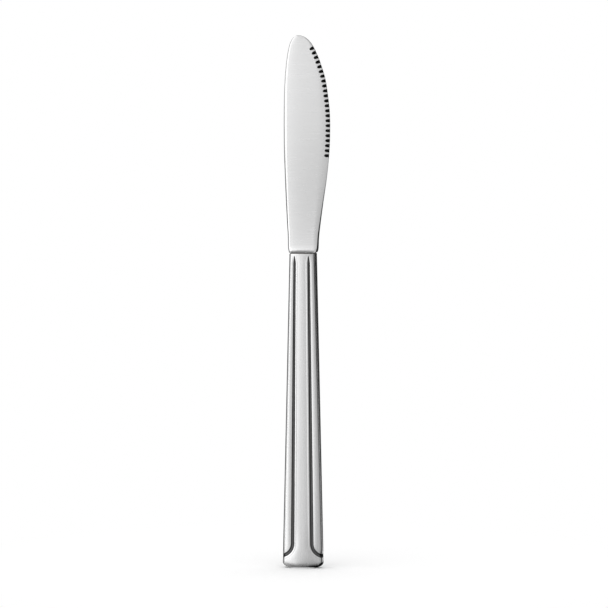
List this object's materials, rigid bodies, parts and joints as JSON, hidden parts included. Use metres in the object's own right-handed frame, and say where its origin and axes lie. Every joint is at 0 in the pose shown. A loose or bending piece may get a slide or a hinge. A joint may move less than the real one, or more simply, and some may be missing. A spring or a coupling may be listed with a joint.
{
  "type": "table knife",
  "caption": "Stainless steel table knife with a rounded toothed blade and a hollow handle with long grooves that turn outwards at the butt.",
  "frame": {"origin": "middle of the flat end of the butt, which the knife stands on in the picture", "axes": "+Z from the butt to the tip, +X towards the cutting edge, -Y towards the side that the picture shows"},
  "size_m": [0.0188, 0.0082, 0.21],
  "materials": {
    "blade_steel": "satin ground stainless steel",
    "handle_steel": "satin polished stainless steel",
    "hard_solder": "ground flush, slightly dull",
    "cement": "cast filled resin cement"
  },
  "bodies": {
    "root": {"blade": "blade_steel", "front_handle_shell": "handle_steel", "back_handle_shell": "handle_steel", "seam_solder": "hard_solder", "mouth_solder": "hard_solder", "tang_cement": "cement"}
  },
  "joints": []
}
